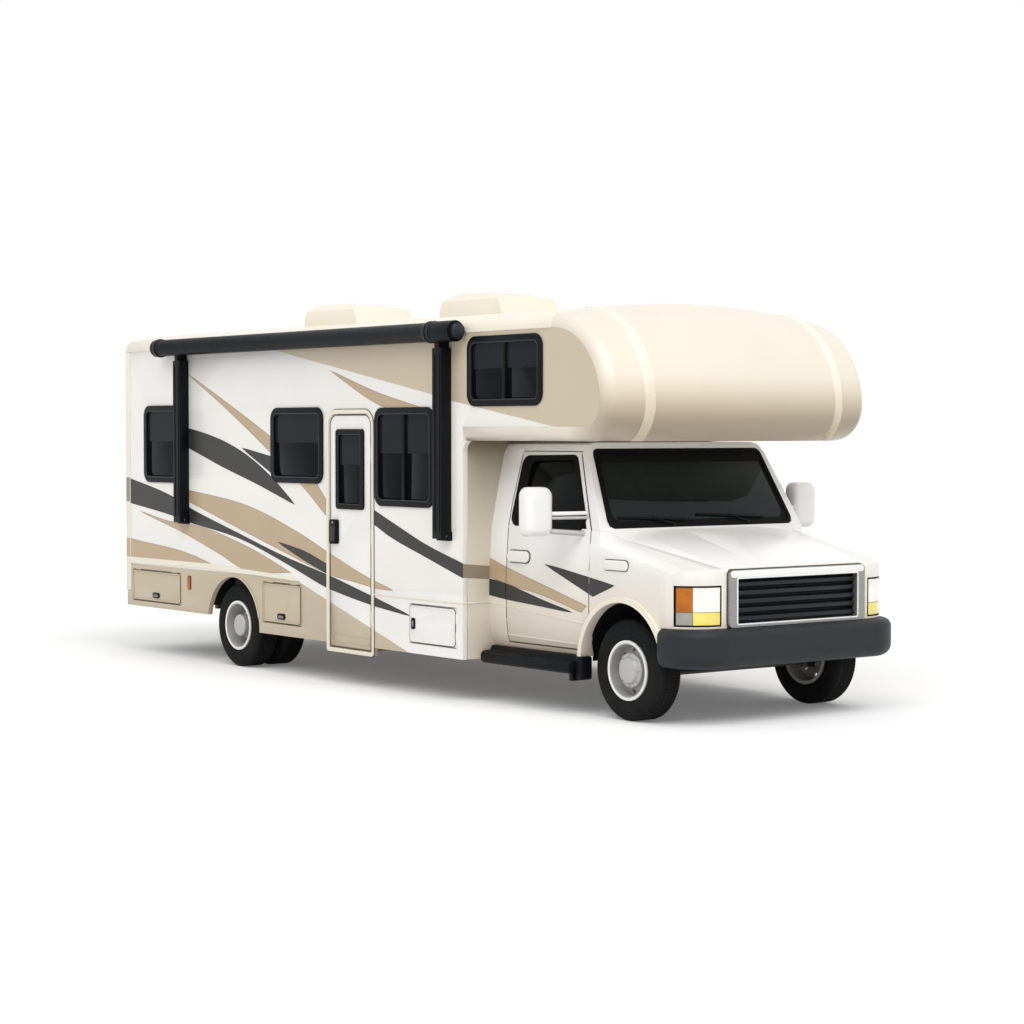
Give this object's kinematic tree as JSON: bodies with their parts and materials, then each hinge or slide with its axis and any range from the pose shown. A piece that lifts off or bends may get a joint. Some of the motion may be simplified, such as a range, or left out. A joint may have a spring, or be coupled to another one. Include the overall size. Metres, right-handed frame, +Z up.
{
  "type": "recreational vehicle",
  "caption": "Motorhome with a van cab under a cabover nose, a box coach with side windows, awning, entry and storage doors, and twin rear wheels.",
  "frame": {"origin": "on the ground, at mid length and mid width", "axes": "+X forward, +Y to the left side, +Z up"},
  "size_m": [7.75, 2.88, 3.195],
  "materials": {
    "body_white": "gloss",
    "cream_gelcoat": "gloss",
    "skirt_tan": "satin",
    "tinted_glass": "gloss",
    "cab_glass": "gloss",
    "black_trim": "satin",
    "grey_plastic": "satin",
    "chassis_steel": "matte",
    "grey_metal": "satin",
    "amber_lens": "gloss",
    "red_lens": "gloss",
    "clear_lens": "gloss",
    "bright_trim": "polished",
    "tyre_rubber": "matte",
    "wheel_silver": "satin",
    "seat_fabric": "matte",
    "floor_board": "matte"
  },
  "bodies": {
    "vehicle": {"coach_floor": "floor_board", "wall_right": "body_white", "wall_left": "body_white", "wall_rear": "body_white", "wall_front": "body_white", "coach_roof": "cream_gelcoat", "cabover_cap": "cream_gelcoat", "skirts": "skirt_tan", "storage_bins": "black_trim", "window_frames": "black_trim", "window_glass": "tinted_glass", "awning": "black_trim", "roof_units": "cream_gelcoat", "rear_bumper": "grey_plastic", "hitch_receiver": "chassis_steel", "amber_lamps": "amber_lens", "red_lamps": "red_lens", "cab_shell": "body_white", "cab_front": "body_white", "cab_floor": "grey_plastic", "windscreen": "cab_glass", "grille_surround": "bright_trim", "grille_slats": "black_trim", "headlamps": "clear_lens", "front_bumper": "grey_plastic", "running_boards": "black_trim", "wheel_liners": "black_trim", "dashboard": "grey_plastic", "seats": "seat_fabric", "frame_rails": "chassis_steel", "engine": "grey_metal", "driveline": "chassis_steel", "front_axle": "chassis_steel", "springs": "chassis_steel", "exhaust": "grey_metal", "tanks": "grey_plastic"},
    "knuckle_left": {"knuckle_left": "chassis_steel"},
    "knuckle_right": {"knuckle_right": "chassis_steel"},
    "front_wheel_left": {"rim_front_left": "wheel_silver", "tyre_front_left": "tyre_rubber"},
    "front_wheel_right": {"rim_front_right": "wheel_silver", "tyre_front_right": "tyre_rubber"},
    "rear_wheels_left": {"rim_rear_left": "wheel_silver", "tyre_rear_left": "tyre_rubber"},
    "rear_wheels_right": {"rim_rear_right": "wheel_silver", "tyre_rear_right": "tyre_rubber"},
    "cab_door_left": {"cab_door_left": "body_white", "cab_glass_left": "cab_glass", "mirror_left": "body_white"},
    "cab_door_right": {"cab_door_right": "body_white", "cab_glass_right": "cab_glass", "mirror_right": "body_white"},
    "entry_door": {"entry_door": "body_white", "entry_glass": "tinted_glass"},
    "bonnet": {"bonnet": "body_white"},
    "steering_wheel": {"steering_wheel": "black_trim"},
    "bin_door_rear_right": {"bin_door_rear_right": "skirt_tan"},
    "bin_door_mid_right": {"bin_door_mid_right": "skirt_tan"},
    "bin_door_front_right": {"bin_door_front_right": "body_white"},
    "bin_door_rear_left": {"bin_door_rear_left": "skirt_tan"}
  },
  "joints": [
    {"name": "steer_left", "type": "hinge", "parent": "vehicle", "child": "knuckle_left", "pos_m": [3.075, 0.772, 0.361], "axis": [0, 0, 1], "range_deg": [-35, 35]},
    {"name": "steer_right", "type": "hinge", "parent": "vehicle", "child": "knuckle_right", "pos_m": [3.075, -0.772, 0.361], "axis": [0, 0, 1], "range_deg": [-35, 35]},
    {"name": "steering_wheel_turn", "type": "hinge", "parent": "vehicle", "child": "steering_wheel", "pos_m": [2.688, 0.41, 1.21], "axis": [-0.8829, 0, 0.4695], "range_deg": [-430, 430]},
    {"name": "front_wheel_spin_left", "type": "hinge", "parent": "knuckle_left", "child": "front_wheel_left", "pos_m": [3.075, 0.872, 0.361], "axis": [0, 1, 0], "continuous": true},
    {"name": "front_wheel_spin_right", "type": "hinge", "parent": "knuckle_right", "child": "front_wheel_right", "pos_m": [3.075, -0.872, 0.361], "axis": [0, 1, 0], "continuous": true},
    {"name": "rear_wheels_spin_left", "type": "hinge", "parent": "vehicle", "child": "rear_wheels_left", "pos_m": [-1.905, 0.98, 0.361], "axis": [0, 1, 0], "continuous": true},
    {"name": "rear_wheels_spin_right", "type": "hinge", "parent": "vehicle", "child": "rear_wheels_right", "pos_m": [-1.905, -0.98, 0.361], "axis": [0, 1, 0], "continuous": true},
    {"name": "cab_door_left_hinge", "type": "hinge", "parent": "vehicle", "child": "cab_door_left", "pos_m": [2.7, 1.017, 0.9], "axis": [0, 0, -1], "range_deg": [0, 65]},
    {"name": "cab_door_right_hinge", "type": "hinge", "parent": "vehicle", "child": "cab_door_right", "pos_m": [2.7, -1.017, 0.9], "axis": [0, 0, 1], "range_deg": [0, 65]},
    {"name": "entry_door_hinge", "type": "hinge", "parent": "vehicle", "child": "entry_door", "pos_m": [0.263, -1.27, 1.2], "axis": [0, 0, 1], "range_deg": [0, 110]},
    {"name": "bonnet_hinge", "type": "hinge", "parent": "vehicle", "child": "bonnet", "pos_m": [2.821, 0, 1.336], "axis": [0, -1, 0], "range_deg": [0, 45]},
    {"name": "bin_door_rear_right_hinge", "type": "hinge", "parent": "vehicle", "child": "bin_door_rear_right", "pos_m": [-3.29, -1.27, 0.773], "axis": [-1, 0, 0], "range_deg": [0, 100]},
    {"name": "bin_door_mid_right_hinge", "type": "hinge", "parent": "vehicle", "child": "bin_door_mid_right", "pos_m": [-1.099, -1.27, 0.773], "axis": [-1, 0, 0], "range_deg": [0, 100]},
    {"name": "bin_door_front_right_hinge", "type": "hinge", "parent": "vehicle", "child": "bin_door_front_right", "pos_m": [1.414, -1.27, 0.56], "axis": [0, 0, 1], "range_deg": [0, 100]},
    {"name": "bin_door_rear_left_hinge", "type": "hinge", "parent": "vehicle", "child": "bin_door_rear_left", "pos_m": [-3.29, 1.27, 0.773], "axis": [1, 0, 0], "range_deg": [0, 100]}
  ],
  "couplings": [
    {"joint": "steer_right", "follows": "steer_left", "ratio": 1},
    {"joint": "steering_wheel_turn", "follows": "steer_left", "ratio": 12}
  ]
}
